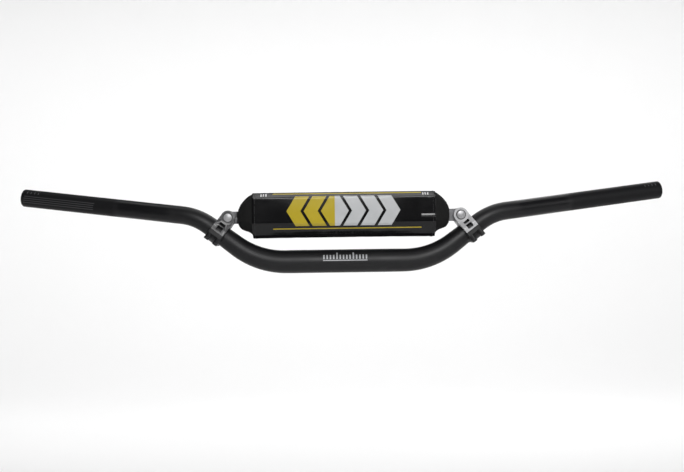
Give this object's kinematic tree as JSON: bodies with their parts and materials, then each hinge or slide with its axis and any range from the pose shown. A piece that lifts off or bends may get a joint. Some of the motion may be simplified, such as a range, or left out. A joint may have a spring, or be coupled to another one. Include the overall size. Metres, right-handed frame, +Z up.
{
  "type": "motocross handlebar",
  "caption": "Bent tapered off-road handlebar tube with a telescoping crossbar on pivoting clamps, and a strapped foam crossbar pad.",
  "frame": {"origin": "centre of the stem section, on the tube's axis, halfway between the grips", "axes": "+X towards the grip on the right as seen from the front of the machine, +Y towards the rider (the grips sweep back to +Y), +Z up"},
  "size_m": [0.82, 0.0858, 0.1102],
  "materials": {
    "tube_black_anodised": "satin black anodised",
    "right_clamp_silver": "bright satin machined",
    "left_clamp_gunmetal": "gunmetal satin with bright edges",
    "clamp_black": "matte black anodised",
    "black_steel": "black oxide",
    "bright_steel": "turned, bright",
    "crossbar_black": "satin black anodised",
    "rod_silver": "polished",
    "eye_end_silver": "satin machined",
    "bush_polymer": "natural bearing polymer",
    "pad_foam": "matte closed-cell foam",
    "pad_vinyl": "glossy printed vinyl",
    "closure_webbing": "hook and loop"
  },
  "bodies": {
    "handlebar": {"handlebar_tube": "tube_black_anodised", "left_clamp_upper": "left_clamp_gunmetal", "left_clamp_lower": "clamp_black", "left_clamp_screw_1": "black_steel", "left_clamp_screw_2": "black_steel", "left_clamp_screw_3": "black_steel", "left_clamp_screw_4": "black_steel", "left_pivot_pin": "bright_steel", "left_pivot_washer": "bright_steel", "left_pivot_nut": "bright_steel", "right_clamp_upper": "right_clamp_silver", "right_clamp_lower": "clamp_black", "right_clamp_screw_1": "black_steel", "right_clamp_screw_2": "black_steel", "right_clamp_screw_3": "black_steel", "right_clamp_screw_4": "black_steel", "right_pivot_pin": "bright_steel", "right_pivot_washer": "bright_steel", "right_pivot_nut": "bright_steel"},
    "crossbar_outer": {"crossbar_tube": "crossbar_black", "left_eye_end": "eye_end_silver", "left_eye_bush": "bush_polymer", "left_roll_pin": "black_steel", "slide_bush": "bush_polymer", "lock_ring_clip": "black_steel"},
    "crossbar_inner": {"crossbar_rod": "rod_silver", "right_eye_end": "eye_end_silver", "right_roll_pin": "black_steel"},
    "lock_ring": {"lock_ring": "rod_silver"},
    "lock_key": {"lock_key": "bright_steel"},
    "pad": {"pad_core": "pad_foam", "pad_cover": "pad_vinyl", "loop_strip": "closure_webbing"},
    "pad_flap": {"pad_flap": "pad_vinyl", "hook_strip": "closure_webbing"}
  },
  "joints": [
    {"name": "left_pin_pivot", "type": "hinge", "parent": "handlebar", "child": "crossbar_outer", "pos_m": [-0.14238, 0, 0.05503], "axis": [0, 1, 0], "range_deg": [-0.1, 0.1]},
    {"name": "crossbar_telescope", "type": "slide", "parent": "crossbar_outer", "child": "crossbar_inner", "axis": [1, 0, 0], "range_m": [-0.001, 0.001]},
    {"name": "lock_ring_turn", "type": "hinge", "parent": "crossbar_outer", "child": "lock_ring", "pos_m": [0.009, 0, 0.05503], "axis": [1, 0, 0], "range_deg": [0, 90]},
    {"name": "lock_key_press", "type": "slide", "parent": "crossbar_outer", "child": "lock_key", "axis": [0, 0, -1], "range_m": [0, 0.0015]},
    {"name": "pad_pull_off", "type": "slide", "parent": "crossbar_outer", "child": "pad", "axis": [0, -1, 0], "range_m": [0, 0.06]},
    {"name": "pad_flap_open", "type": "hinge", "parent": "pad", "child": "pad_flap", "pos_m": [0, 0.0226, 0.07503], "axis": [1, 0, 0], "range_deg": [0, 144]}
  ],
  "couplings": [
    {"joint": "lock_key_press", "follows": "lock_ring_turn", "m_per_rad": 0.0009549},
    {"joint": "pad_flap_open", "follows": "pad_pull_off", "rad_per_m": 41.887},
    {"joint": "crossbar_telescope", "follows": "left_pin_pivot", "m_per_rad": 0.57295}
  ]
}
